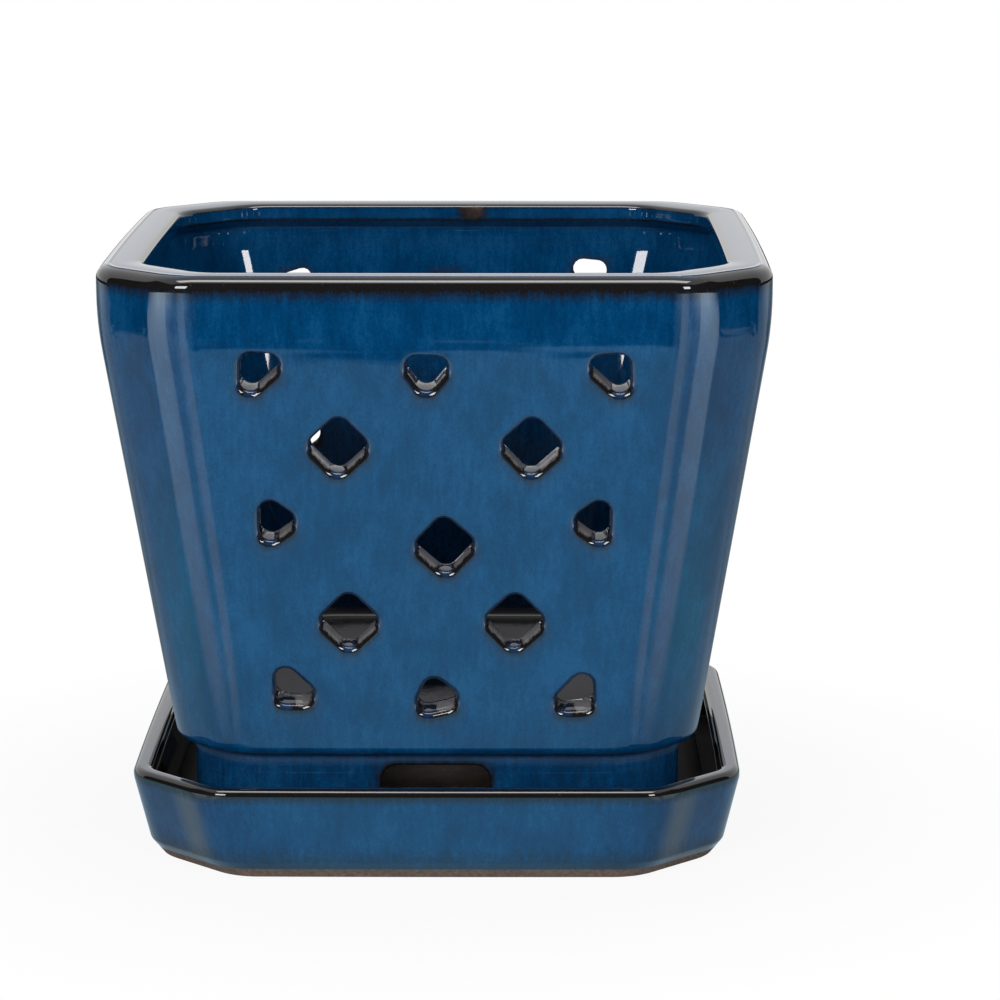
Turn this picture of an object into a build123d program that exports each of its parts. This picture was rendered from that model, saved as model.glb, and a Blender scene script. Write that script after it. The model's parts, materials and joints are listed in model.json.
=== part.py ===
from build123d import *
import os
from math import atan2, cos, sin, sqrt

# A square orchid pot with cut corners and slotted walls, standing in its drip saucer.
# Millimetres, +Z up, front wall towards -Y, origin at the middle of the saucer's underside.

# Pot, outside
RIM_WIDTH = 180.0  # across two opposite walls, at the rim
POT_HEIGHT = 157.0  # from the foot to the rim
WALL_BASE_WIDTH = 143.0  # across two opposite walls, at the fold where they turn in to the foot
RIM_CORNER_CUT = 20.5  # leg of the cut corner, at the rim
BASE_CORNER_CUT = 16.0  # leg of the cut corner, at the fold
CORNER_ROUND = 8.0  # upright edges, outside
RIM_BAND = 8.0  # upright band under the rim
SHOULDER = 16.0  # height over which the band bends into the sloping wall
SHOULDER_STEPS = 4
RIM_ROUND = 1.8  # outer edge of the rim
FOLD_ROUND = 3.0  # lower edge of the walls

# Pot, inside
WALL = 8.0  # measured level
INNER_ROUND = 5.0  # upright edges, inside and on the foot
LIP_OVERHANG = 4.0  # inward lip at the rim
LIP_HEIGHT = 4.5
LIP_SLOPE = 3.0  # height of the lip's sloping underside
FLOOR = 8.0
FLOOR_ABOVE_FOLD = 7.5  # from the fold to the top of the floor
DRAIN_DIAMETER = 22.0

# Pot, foot
FOOT_HEIGHT = 25.0  # from the foot to the fold
FOOT_SETBACK = 5.0  # foot inside the fold
FOOT_WALL = 9.0
ARCH_WIDTH = 29.0
ARCH_CROWN = 4.0  # clay between the arch and the fold
ARCH_ROUND = 4.0

# Slots in each wall: a lattice with whole diamonds inside and cut ones along its border
LATTICE_ROWS = 5
LATTICE_REACH = 2  # columns on each side of the middle one
LATTICE_DROP = 21.0  # from the rim to the top border
LATTICE_RISE = 6.5  # from the floor to the bottom border
LATTICE_MARGIN_TOP = 18.5  # from the upright border to the wall's edge, at the top
LATTICE_MARGIN_BASE = 14.5  # the same, at the bottom
SLOT_DIAMOND = 13.2  # side of a whole diamond
SLOT_EDGE_BASE = 18.5  # half diamonds: length of the side on the border
SLOT_EDGE_DEPTH = 12.5  # half diamonds: from the border to the point
SLOT_CORNER_LEG = 16.0  # quarter diamonds: both sides on the border
SLOT_ROUND = 2.8
CENTRE_SLOT_DROP = 3.0  # the middle diamond sits under its row
SIDE_SLOT_RISE = 3.0  # the half diamonds beside it sit above it

# Saucer
SAUCER_GAP = 5.5  # from the pot's fold to the inside of the saucer's rim
SAUCER_WALL = 6.0  # measured level
SAUCER_HEIGHT = 26.0
SAUCER_BAND = 3.0  # upright band under the saucer's rim
SAUCER_FLARE = 4.0  # rim outside the top of the bevel
SAUCER_BEVEL = 5.0  # height of the bevel round the base
SAUCER_BEVEL_DEPTH = 3.3
SAUCER_CORNER_EXTRA = 5.5  # corner cut, beyond the pot's at the fold
SAUCER_CORNER_ROUND = 6.0
SAUCER_RIM_ROUND = 1.8
SAUCER_FLOOR_TOP = 7.5  # the pot stands on it
SAUCER_RING = 10.0  # width of the ring that the saucer stands on
SAUCER_RING_HEIGHT = 1.5

CUT_OVERLAP = 2.0  # cutters start this far outside the clay
CORNER_INSET = 2.0 - sqrt(2.0)  # how much a corner cut shortens for each millimetre of inset

foot_z = SAUCER_FLOOR_TOP
rim_z = foot_z + POT_HEIGHT
fold_z = foot_z + FOOT_HEIGHT
floor_z = fold_z + FLOOR_ABOVE_FOLD
band_z = rim_z - RIM_BAND
slope_end_z = band_z - SHOULDER
lattice_top_z = rim_z - LATTICE_DROP
lattice_base_z = floor_z + LATTICE_RISE
base_half = WALL_BASE_WIDTH / 2
wall_slope = (RIM_WIDTH / 2 - base_half) / (slope_end_z - fold_z + SHOULDER / 2)
saucer_half = base_half + SAUCER_GAP + SAUCER_WALL
saucer_cut = BASE_CORNER_CUT + SAUCER_CORNER_EXTRA


def octagon(half, cut, inset, rounding, z):
    """A level square with its corners cut off, moved in by inset, its eight edges rounded."""
    half -= inset
    flat = half - cut + inset * CORNER_INSET
    corners = [
        (flat, -half),
        (half, -flat),
        (half, flat),
        (flat, half),
        (-flat, half),
        (-half, flat),
        (-half, -flat),
        (-flat, -half),
    ]
    return Pos(0, 0, z) * make_face(FilletPolyline(*corners, radius=rounding, close=True))


def edges_at(solid, z):
    return solid.edges().filter_by_position(Axis.Z, z, z)


def steps_between(low, high, count):
    return [low + (high - low) * step / count for step in range(count + 1)]


def wall_half(z):
    """From the axis to the outside of the pot's wall: sloping, then bending into the upright band."""
    straight = base_half + wall_slope * (min(z, slope_end_z) - fold_z)
    bend = max(min(z, band_z) - slope_end_z, 0)
    return straight + wall_slope * (bend - bend**2 / (2 * SHOULDER))


def wall_cut(z):
    return BASE_CORNER_CUT + (RIM_CORNER_CUT - BASE_CORNER_CUT) * (z - fold_z) / (rim_z - fold_z)


def wall_section(z, inset, rounding):
    return octagon(wall_half(z), wall_cut(z), inset, rounding, z)


def foot_section(inset, z):
    return octagon(base_half, BASE_CORNER_CUT, FOOT_SETBACK + inset, INNER_ROUND, z)


def lip_section(z):
    return octagon(wall_half(rim_z), RIM_CORNER_CUT, WALL + LIP_OVERHANG, INNER_ROUND, z)


def slot_outline(sides_on_border):
    """A slot drawn from its lattice point: whole, or cut by one or two sides of the border."""
    if sides_on_border == 0:
        reach = SLOT_DIAMOND / sqrt(2.0)
        points = [(reach, 0), (0, reach), (-reach, 0), (0, -reach)]
    elif sides_on_border == 1:
        points = [(-SLOT_EDGE_BASE / 2, 0), (SLOT_EDGE_BASE / 2, 0), (0, SLOT_EDGE_DEPTH)]
    else:
        points = [(0, 0), (SLOT_CORNER_LEG, 0), (0, SLOT_CORNER_LEG)]
    return make_face(FilletPolyline(*points, radius=SLOT_ROUND, close=True))


def slot_cutter(row, column):
    """A cutter square to the front wall, at one point of the lattice."""
    middle_row = (LATTICE_ROWS - 1) / 2
    z = lattice_base_z + (lattice_top_z - lattice_base_z) * row / (LATTICE_ROWS - 1)
    share = (z - lattice_base_z) / (lattice_top_z - lattice_base_z)
    if row == middle_row:
        z += SIDE_SLOT_RISE if column else -CENTRE_SLOT_DROP
    margin = LATTICE_MARGIN_BASE + (LATTICE_MARGIN_TOP - LATTICE_MARGIN_BASE) * share
    reach = wall_half(z) - wall_cut(z) - margin
    on_border = [row == 0, column == LATTICE_REACH, row == LATTICE_ROWS - 1, column == -LATTICE_REACH]
    sides = [side for side in range(4) if on_border[side]]
    corner = [side for side in sides if on_border[side - 1]]
    quarter_turns = (corner or sides or [0])[0]
    lean = atan2(wall_slope, 1.0)
    place = (reach * column / LATTICE_REACH, -wall_half(z), z)
    face = Plane(origin=place, x_dir=(1, 0, 0), z_dir=(0, -cos(lean), -sin(lean)))
    outline = face * Pos(0, 0, CUT_OVERLAP) * Rot(0, 0, 90 * quarter_turns) * slot_outline(len(sides))
    return extrude(outline, amount=-(WALL + 2 * CUT_OVERLAP))


def lattice_cutters():
    """The slots of one wall: every second point of the lattice."""
    cutters = []
    for row in range(LATTICE_ROWS):
        for column in range(-LATTICE_REACH, LATTICE_REACH + 1):
            if (row + column) % 2 == 0:
                cutters.append(slot_cutter(row, column))
    return cutters


def arch_cutter():
    """A round-topped gap through two opposite sides of the foot."""
    height = FOOT_HEIGHT - ARCH_CROWN
    outline = fillet(Rectangle(ARCH_WIDTH, 2 * height).vertices(), ARCH_ROUND)
    return Pos(0, 0, foot_z) * extrude(Plane.XZ * outline, amount=base_half, both=True)


def make_pot():
    bend = steps_between(slope_end_z, band_z, SHOULDER_STEPS)
    body = loft([wall_section(z, 0, CORNER_ROUND) for z in [fold_z, *bend, rim_z]], ruled=True)
    body = fillet(edges_at(body, rim_z), RIM_ROUND)
    body = fillet(edges_at(body, fold_z), FOLD_ROUND)
    body += extrude(foot_section(0, foot_z), amount=floor_z - foot_z)

    lip_z = rim_z - LIP_HEIGHT
    inner_bend = steps_between(slope_end_z, lip_z - LIP_SLOPE, SHOULDER_STEPS)
    inside = [wall_section(z, WALL, INNER_ROUND) for z in [floor_z, *inner_bend]]
    inside += [lip_section(z) for z in (lip_z, rim_z + CUT_OVERLAP)]
    body -= loft(inside, ruled=True)

    hollow_height = floor_z - FLOOR - foot_z
    body -= extrude(foot_section(FOOT_WALL, foot_z - CUT_OVERLAP), amount=hollow_height + CUT_OVERLAP)
    body -= Pos(0, 0, floor_z) * Cylinder(DRAIN_DIAMETER / 2, 2 * (FLOOR + CUT_OVERLAP))

    slots = lattice_cutters()
    arch = arch_cutter()
    for turn in (0, 90, 180, 270):
        body -= [Rot(0, 0, turn) * slot for slot in slots]
    body -= [arch, Rot(0, 0, 90) * arch]
    return body


def saucer_section(z, inset):
    """The saucer's outline at height z: a bevel, a flaring wall and an upright band."""
    flare_height = SAUCER_HEIGHT - SAUCER_BAND - SAUCER_BEVEL
    below_rim = max(SAUCER_HEIGHT - SAUCER_BAND - z, 0)
    half = saucer_half - SAUCER_FLARE * min(below_rim / flare_height, 1)
    half -= SAUCER_BEVEL_DEPTH * max(SAUCER_BEVEL - z, 0) / SAUCER_BEVEL
    return octagon(half, saucer_cut, inset, SAUCER_CORNER_ROUND, z)


def make_saucer():
    band_base_z = SAUCER_HEIGHT - SAUCER_BAND
    outside = [saucer_section(z, 0) for z in (0, SAUCER_BEVEL, band_base_z, SAUCER_HEIGHT)]
    body = loft(outside, ruled=True)
    levels = (SAUCER_FLOOR_TOP, band_base_z, SAUCER_HEIGHT + CUT_OVERLAP)
    body -= loft([saucer_section(z, SAUCER_WALL) for z in levels], ruled=True)
    body = fillet(edges_at(body, SAUCER_HEIGHT), SAUCER_RIM_ROUND)
    recess = Pos(0, 0, -CUT_OVERLAP) * saucer_section(0, SAUCER_RING)
    body -= extrude(recess, amount=SAUCER_RING_HEIGHT + CUT_OVERLAP)
    return body


os.makedirs("parts", exist_ok=True)
for node, solid in {"pot": make_pot(), "saucer": make_saucer()}.items():
    export_step(solid, f"parts/{node}.step")
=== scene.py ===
import json
from itertools import product
from math import atan, cos, pi, radians, sin, sqrt, tan

import bpy
import numpy as np
from mathutils import Matrix, Vector

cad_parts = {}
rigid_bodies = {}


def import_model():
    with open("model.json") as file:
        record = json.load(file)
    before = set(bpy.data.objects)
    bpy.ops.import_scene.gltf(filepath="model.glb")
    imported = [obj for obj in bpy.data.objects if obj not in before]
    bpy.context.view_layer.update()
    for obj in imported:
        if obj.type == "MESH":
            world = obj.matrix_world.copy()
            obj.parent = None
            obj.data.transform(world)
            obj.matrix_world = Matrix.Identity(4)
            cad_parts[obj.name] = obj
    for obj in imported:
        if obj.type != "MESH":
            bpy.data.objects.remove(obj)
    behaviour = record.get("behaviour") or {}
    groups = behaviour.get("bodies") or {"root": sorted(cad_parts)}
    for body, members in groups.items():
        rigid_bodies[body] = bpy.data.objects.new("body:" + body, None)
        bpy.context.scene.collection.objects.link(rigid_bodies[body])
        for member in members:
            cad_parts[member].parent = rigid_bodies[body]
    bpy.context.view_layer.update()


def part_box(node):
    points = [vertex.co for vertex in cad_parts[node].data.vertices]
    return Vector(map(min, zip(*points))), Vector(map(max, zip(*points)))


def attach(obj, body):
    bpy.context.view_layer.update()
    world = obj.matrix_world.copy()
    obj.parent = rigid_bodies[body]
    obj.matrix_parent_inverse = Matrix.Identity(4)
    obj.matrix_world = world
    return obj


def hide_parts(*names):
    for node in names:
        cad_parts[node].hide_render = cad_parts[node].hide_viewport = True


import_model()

# Saucer
# A shallow square drip tray with cut corners, pressed from brown stoneware clay.
# It was dipped in blue glaze down to its bevel and fired standing on a bare ring of clay.
mm = 0.001
saucer_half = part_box("saucer")[1].x
saucer_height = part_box("saucer")[1].z
saucer_cut = 21.5 * mm
saucer_corner_round = 15 * mm
saucer_inner_corner_round = 8 * mm
saucer_wall = 6 * mm
saucer_band_z = saucer_height - 3 * mm
saucer_band_round = 6 * mm
saucer_flare = 4 * mm
saucer_bevel_z = 5 * mm
saucer_bevel_depth = 3.3 * mm
saucer_bevel_round = 3 * mm
saucer_rim_round = 1.9 * mm
saucer_rim_inner_round = 2.6 * mm
saucer_foot_round = 0.7 * mm
saucer_floor_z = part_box("pot")[0].z
saucer_floor_round = 4.5 * mm
saucer_ring = 10 * mm
saucer_recess = 1.5 * mm
saucer_bow = 1.2
saucer_glaze_line = 2.7 * mm
saucer_line_cover = 0.54
saucer_line_fade = 16 * mm
saucer_brown_band = 1.9 * mm
saucer_band_fade = 5 * mm
saucer_inner_shade_cover = 0.35
saucer_crest_cover = 0.75
# Painted highlight: a pale streak down each cut corner of the saucer, where a light's reflection runs
sheen_streak_place = 8.5 * mm
sheen_streak_reach = 4.5 * mm
sheen_streak_strength = 1.35
wash_strength = 0.7
wash_start = 8 * mm
wash_fade = 20 * mm

# The cover of the glaze: thin and grey at 0, then black, then turning to the full blue
black_cover = 0.3
blue_starts = 0.42
blue_full = 0.95

corner_inset = 2 - sqrt(2)  # how much a corner cut shortens for each unit of inset
corner_half_turn = pi / 8
profile_round_steps = 6
wall_share = 0.6  # of a wall's thickness, past which a point lies on the wall's other face


def level(half, cut, rounding, z):
    """One level of a shell: half its width, the leg of its cut corners, their rounding and its height."""
    return np.array([half, cut, rounding, z], float)


def inset(outer, depth, rounding, corner_fill=0.0):
    """The level moved in by depth on every side, its corners filled with that much more clay."""
    return level(outer[0] - depth, outer[1] - depth * corner_inset + corner_fill, rounding, outer[3])


def between(first, last, count):
    """What lies strictly between two levels or points, evenly spaced."""
    return [first + (last - first) * step / (count + 1) for step in range(1, count + 1)]


def profile(corners):
    """The levels along a profile.
    Each corner is a level, the radius of its round and the number of levels up to the next."""
    rounds = []
    for number, (here, radius, _) in enumerate(corners):
        if not radius:
            rounds.append([here])
            continue
        back = corners[number - 1][0] - here
        ahead = corners[number + 1][0] - here
        back_run = np.hypot(back[0], back[3])
        ahead_run = np.hypot(ahead[0], ahead[3])
        straightness = -(back[0] * ahead[0] + back[3] * ahead[3]) / (back_run * ahead_run)
        half_turn = np.arccos(straightness) / 2
        reach = radius * tan(half_turn)
        start = here + back * reach / back_run
        end = here + ahead * reach / ahead_run
        arc = []
        for step in range(profile_round_steps + 1):
            share = step / profile_round_steps
            pulls = np.array([(1 - share) ** 2, 2 * share * (1 - share) * cos(half_turn), share**2])
            arc.append((pulls[0] * start + pulls[1] * here + pulls[2] * end) / pulls.sum())
        rounds.append(arc)
    levels = []
    for number, (_, _, steps) in enumerate(corners):
        levels += rounds[number]
        if number + 1 < len(corners):
            levels += between(rounds[number][-1], rounds[number + 1][0], steps)
    return levels


def add_node(tree, kind, inputs=None, **settings):
    """A new node with its settings. Each input is a plain value, or the socket that feeds it."""
    node = tree.nodes.new(kind)
    for name, value in settings.items():
        setattr(node, name, value)
    for key, value in (inputs or {}).items():
        if isinstance(value, bpy.types.NodeSocket):
            tree.links.new(value, node.inputs[key])
        else:
            node.inputs[key].default_value = value
    return node


def math_node(tree, operation, *values):
    return add_node(tree, "ShaderNodeMath", dict(enumerate(values)), operation=operation).outputs[0]


def faded(tree, value, start, end, first=0.0, last=1.0):
    """Goes from first to last while the value goes from start to end."""
    inputs = dict(enumerate((value, start, end, first, last)))
    return add_node(tree, "ShaderNodeMapRange", inputs).outputs[0]


def mixed(tree, share, first, second):
    """A colour between two others."""
    inputs = {0: share, 6: first, 7: second}
    return add_node(tree, "ShaderNodeMix", inputs, data_type="RGBA").outputs[2]


def vector_sum(tree, *vectors):
    total = vectors[0]
    for vector in vectors[1:]:
        total = add_node(tree, "ShaderNodeVectorMath", {0: total, 1: vector}, operation="ADD").outputs[0]
    return total


def vector_times(tree, vector, factor):
    inputs = {"Vector": vector, "Scale": factor}
    return add_node(tree, "ShaderNodeVectorMath", inputs, operation="SCALE").outputs[0]


def new_object(name, mesh):
    made = bpy.data.objects.new(name, mesh)
    bpy.context.scene.collection.objects.link(made)
    return made


def new_material(name):
    """A material with an empty node tree."""
    material = bpy.data.materials.new(name)
    material.use_nodes = True
    material.node_tree.nodes.clear()
    return material


def store(mesh, name, values, kind="FLOAT"):
    """Keeps one value for each vertex as a named attribute."""
    field = "vector" if kind == "FLOAT_VECTOR" else "value"
    mesh.attributes.new(name, kind, "POINT").data.foreach_set(field, np.ravel(values))


def make_outline(name, wall_steps, cut_steps, round_steps):
    """The points round a level, each with the ways it moves as the half width, cut and rounding grow."""
    arcs = []
    for quarter in range(4):
        spin = np.array(Matrix.Rotation(quarter * pi / 2, 2))
        for corner, cut_way in enumerate(((-1, 0), (0, 1))):
            start = (2 * quarter + corner - 2) * 2 * corner_half_turn
            middle = start + corner_half_turn
            to_centre = np.array([cos(middle), sin(middle)]) / cos(corner_half_turn)
            arc = []
            for step in range(round_steps + 1):
                angle = start + 2 * corner_half_turn * step / round_steps
                round_way = np.array([cos(angle), sin(angle)]) - to_centre
                arc.append(np.array([spin @ (1, -1), spin @ cut_way, round_way]))
            arcs.append(arc)
    ways = []
    for number, arc in enumerate(arcs):
        following = arcs[(number + 1) % len(arcs)]
        ways += arc + between(arc[-1], following[0], (wall_steps if number % 2 else cut_steps) - 1)
    ways = np.concatenate([ways, np.zeros((len(ways), 3, 1))], axis=2)
    mesh = bpy.data.meshes.new(name)
    mesh.from_pydata(ways[:, 0].tolist(), [], [])
    store(mesh, "cut_way", ways[:, 1], "FLOAT_VECTOR")
    store(mesh, "round_way", ways[:, 2], "FLOAT_VECTOR")
    outline = new_object(name, mesh)
    outline.hide_render = True
    return outline


def new_tree(name, inputs, output):
    tree = bpy.data.node_groups.new(name, "GeometryNodeTree")
    for label, kind in inputs.items():
        tree.interface.new_socket(label, in_out="INPUT", socket_type="NodeSocket" + kind)
    tree.interface.new_socket(output, in_out="OUTPUT", socket_type="NodeSocketGeometry")
    return tree, add_node(tree, "NodeGroupInput").outputs


def named_field(tree, name, kind):
    return add_node(tree, "GeometryNodeInputNamedAttribute", {"Name": name}, data_type=kind).outputs[0]


def finish_tree(tree, shape, material):
    """Ends a tree: one real mesh with its glaze on."""
    shape = add_node(tree, "GeometryNodeRealizeInstances", {"Geometry": shape}).outputs[0]
    shape = add_node(tree, "GeometryNodeSetMaterial", {"Geometry": shape, "Material": material}).outputs[0]
    add_node(tree, "NodeGroupOutput", {0: shape})
    return tree


def make_shell_tree():
    """Skins a stack of levels, each a square with cut and rounded corners, into one closed shell."""
    inputs = {"Levels": "Geometry", "Outline": "Object", "Wall bow": "Float", "Unevenness": "Float"}
    inputs |= {"Lumps per metre": "Float", "Seed": "Float", "Glaze": "Material"}
    tree, given = new_tree("cut_corner_shell", inputs, "Shell")
    levels = given["Levels"]
    outline = add_node(tree, "GeometryNodeObjectInfo", {"Object": given["Outline"]}).outputs["Geometry"]

    def count(shape):
        return add_node(tree, "GeometryNodeAttributeDomainSize", {"Geometry": shape}).outputs["Point Count"]

    def sampled(shape, field, index, kind):
        inputs = {"Geometry": shape, "Value": field, "Index": index}
        return add_node(tree, "GeometryNodeSampleIndex", inputs, data_type=kind).outputs[0]

    number = add_node(tree, "GeometryNodeInputIndex").outputs[0]
    row = math_node(tree, "MODULO", number, count(levels))
    column = math_node(tree, "FLOOR", math_node(tree, "DIVIDE", number, count(levels)))
    column = math_node(tree, "MODULO", column, count(outline))
    place = add_node(tree, "GeometryNodeInputPosition").outputs[0]
    sizes = sampled(levels, place, row, "FLOAT_VECTOR")
    half, cut, z = add_node(tree, "ShaderNodeSeparateXYZ", {0: sizes}).outputs
    rounding = sampled(levels, named_field(tree, "rounding", "FLOAT"), row, "FLOAT")
    half_way = sampled(outline, place, column, "FLOAT_VECTOR")
    cut_way = sampled(outline, named_field(tree, "cut_way", "FLOAT_VECTOR"), column, "FLOAT_VECTOR")
    round_way = sampled(outline, named_field(tree, "round_way", "FLOAT_VECTOR"), column, "FLOAT_VECTOR")
    straight = vector_sum(
        tree,
        vector_times(tree, half_way, half),
        vector_times(tree, cut_way, cut),
        vector_times(tree, round_way, rounding),
        add_node(tree, "ShaderNodeCombineXYZ", {"Z": z}).outputs[0],
    )
    x, y, z = add_node(tree, "ShaderNodeSeparateXYZ", {0: straight}).outputs
    lumps = {"Vector": straight, "W": given["Seed"], "Scale": given["Lumps per metre"], "Detail": 1.0}
    lump = add_node(tree, "ShaderNodeTexNoise", lumps, noise_dimensions="4D").outputs[0]
    shrink = math_node(tree, "MULTIPLY", lump, given["Unevenness"])

    def settled(side, along):
        """Walls bow out in the middle, and sink a little in the kiln."""
        sag = math_node(tree, "MULTIPLY_ADD", math_node(tree, "POWER", along, 2.0), given["Wall bow"], shrink)
        return math_node(tree, "MULTIPLY", side, math_node(tree, "SUBTRACT", 1.0, sag))

    place = add_node(tree, "ShaderNodeCombineXYZ", {0: settled(x, y), 1: settled(y, x), 2: z}).outputs[0]
    counts = {"Vertices X": math_node(tree, "ADD", count(outline), 1), "Vertices Y": count(levels)}
    shell = add_node(tree, "GeometryNodeMeshGrid", counts).outputs["Mesh"]
    shell = add_node(tree, "GeometryNodeSetPosition", {"Geometry": shell, "Position": place}).outputs[0]
    seams = {"Geometry": shell, "Distance": 0.001 * mm}
    shell = add_node(tree, "GeometryNodeMergeByDistance", seams).outputs[0]
    shell = add_node(tree, "GeometryNodeSetShadeSmooth", {"Geometry": shell}).outputs[0]
    return finish_tree(tree, shell, given["Glaze"])


def apply_tree(piece, tree, values):
    """Puts a node tree on a piece, its inputs set through their sockets' identifiers."""
    modifier = piece.modifiers.new(tree.name, "NODES")
    modifier.node_group = tree
    for socket in tree.interface.items_tree:
        if socket.in_out == "INPUT" and socket.name in values:
            modifier[socket.identifier] = values[socket.name]


def settle(piece):
    """Turns what the node trees made into a plain mesh and takes the trees off."""
    graph = bpy.context.evaluated_depsgraph_get()
    mesh = bpy.data.meshes.new_from_object(piece.evaluated_get(graph))
    piece.modifiers.clear()
    piece.data = mesh
    mesh.name = piece.name
    return mesh


def coordinates(mesh):
    flat = np.empty(len(mesh.vertices) * 3)
    mesh.vertices.foreach_get("co", flat)
    return flat.reshape(-1, 3)


def outline_reach(x, y, cut):
    """How far out each point lies, measured square to its wall or to its cut corner."""
    return np.maximum(np.maximum(abs(x), abs(y)), (abs(x) + abs(y) + cut) / 2)


def make_shell(name, levels, outline, tree, values):
    levels = np.array(levels)
    mesh = bpy.data.meshes.new(name)
    mesh.from_pydata(levels[:, (0, 1, 3)].tolist(), [], [])
    store(mesh, "rounding", levels[:, 2])
    shell = new_object(name, mesh)
    apply_tree(shell, tree, values | {"Outline": outline})
    return shell


def glaze_material(name, clay_line):
    """Glossy blue glaze on brown clay, down to a line where it was wiped off, with fine upright streaks.
    Its cover runs from 0, thin and grey, over black on sharp edges to the full blue.
    Rust bleeds into it from the slots, from a reach of 0 at their edge until 1. A sheen streak is a painted
    highlight in pale grey.
    Bare clay shows through as a patchy wash, and dullness takes the gloss off."""
    deep_blue = (0.0003, 0.034, 0.106, 1)
    body_blue = (0.0006, 0.046, 0.138, 1)
    pale_blue = (0.0040, 0.064, 0.176, 1)
    thin_grey = (0.190, 0.182, 0.185, 1)
    thin_black = (0.010, 0.009, 0.009, 1)
    rust = (0.024, 0.013, 0.006, 1)
    # painted highlight: the pale grey laid on where a light's reflection runs down an edge
    sheen_grey = (0.062, 0.096, 0.132, 1)
    clay_pale = (0.200, 0.130, 0.100, 1)
    clay_dark = (0.110, 0.070, 0.052, 1)
    white, half_grey, black = (1, 1, 1, 1), (0.5, 0.5, 0.5, 1), (0, 0, 0, 1)
    wiped_blur = 0.15 * mm
    clay_roughness = 0.85
    peel_depth = 0.2 * mm
    material = new_material(name)
    tree = material.node_tree
    place = add_node(tree, "ShaderNodeTexCoord").outputs["Object"]

    def noise(scale, detail, upright=1.0):
        """Noise with that many cells to the metre, drawn out in height."""
        stretch = {"Vector": place, "Scale": (1, 1, 1 / upright)}
        mapping = add_node(tree, "ShaderNodeMapping", stretch).outputs[0]
        inputs = {"Vector": mapping, "Scale": scale, "Detail": detail, "Roughness": 0.6}
        return add_node(tree, "ShaderNodeTexNoise", inputs).outputs[0]

    def ramp(value, *stops):
        node = add_node(tree, "ShaderNodeValToRGB", {"Fac": value})
        while len(node.color_ramp.elements) < len(stops):
            node.color_ramp.elements.new(0.5)
        for element, (position, colour) in zip(node.color_ramp.elements, stops):
            element.position = position
            element.color = colour
        return node.outputs[0]

    def attribute(label):
        return add_node(tree, "ShaderNodeAttribute", attribute_name=label).outputs["Fac"]

    streaks = noise(700.0, 2.0, upright=5.0)
    clouds = noise(90.0, 3.0, upright=1.5)
    specks = noise(1900.0, 2.0, upright=1.6)
    tone = math_node(tree, "MULTIPLY_ADD", streaks, 0.25, math_node(tree, "MULTIPLY", clouds, 0.45))
    tone = math_node(tree, "MULTIPLY_ADD", specks, 0.30, tone)
    blue = ramp(tone, (0.41, deep_blue), (0.50, body_blue), (0.60, pale_blue))
    cover = attribute("glaze_cover")
    rough_edge = math_node(tree, "MULTIPLY_ADD", streaks, 0.30, math_node(tree, "MULTIPLY", specks, 0.30))
    rough_edge = math_node(tree, "SUBTRACT", rough_edge, 0.30)
    ragged = math_node(tree, "ADD", cover, rough_edge)
    rusty = ramp(attribute("rust_reach"), (0.0, half_grey), (1.0, black))
    blue = mixed(tree, rusty, blue, rust)
    # a painted highlight, mixed in where the sheen streak lies
    blue = mixed(tree, attribute("pale_edge"), blue, sheen_grey)
    thin = ramp(ragged, (0.05, thin_grey), (0.22, thin_black))
    glazed = mixed(tree, ramp(ragged, (blue_starts, white), (blue_full, black)), blue, thin)
    height = add_node(tree, "ShaderNodeSeparateXYZ", {0: place}).outputs["Z"]
    wiped = faded(tree, height, clay_line - wiped_blur, clay_line + wiped_blur, 1.0, 0.0)
    patchy = math_node(tree, "MULTIPLY_ADD", clouds, 2.0, -0.3)
    wash = math_node(tree, "MULTIPLY", attribute("bare_clay"), patchy)
    bare = math_node(tree, "MAXIMUM", wiped, wash)
    clay = ramp(noise(900.0, 4.0), (0.35, clay_dark), (0.65, clay_pale))
    colour = mixed(tree, bare, glazed, clay)
    gloss = math_node(tree, "MULTIPLY_ADD", specks, 0.05, 0.02)
    dull = math_node(tree, "MAXIMUM", bare, attribute("dullness"))
    roughness = add_node(tree, "ShaderNodeMix", {0: dull, 2: gloss, 3: clay_roughness}).outputs[0]
    peel = math_node(tree, "MULTIPLY_ADD", streaks, 0.25, noise(160.0, 2.0, upright=2.0))
    dents = {"Height": peel, "Strength": 0.05, "Distance": peel_depth}
    bump = add_node(tree, "ShaderNodeBump", dents).outputs[0]
    inputs = {"Base Color": colour, "Roughness": roughness, "Normal": bump, "IOR": 1.5}
    surface = add_node(tree, "ShaderNodeBsdfPrincipled", inputs).outputs[0]
    add_node(tree, "ShaderNodeOutputMaterial", {"Surface": surface})
    return material


def saucer_half_at(z):
    """Half the saucer's width at height z: a bevel, a flaring wall and an upright band."""
    below_band = np.clip((saucer_band_z - z) / (saucer_band_z - saucer_bevel_z), 0, 1)
    below_bevel = np.clip((saucer_bevel_z - z) / saucer_bevel_z, 0, 1)
    return saucer_half - saucer_flare * below_band - saucer_bevel_depth * below_bevel


def saucer_outside(z):
    return level(saucer_half_at(z), saucer_cut, saucer_corner_round, z)


def saucer_inside(z):
    return inset(saucer_outside(z), saucer_wall, saucer_inner_corner_round)


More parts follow.
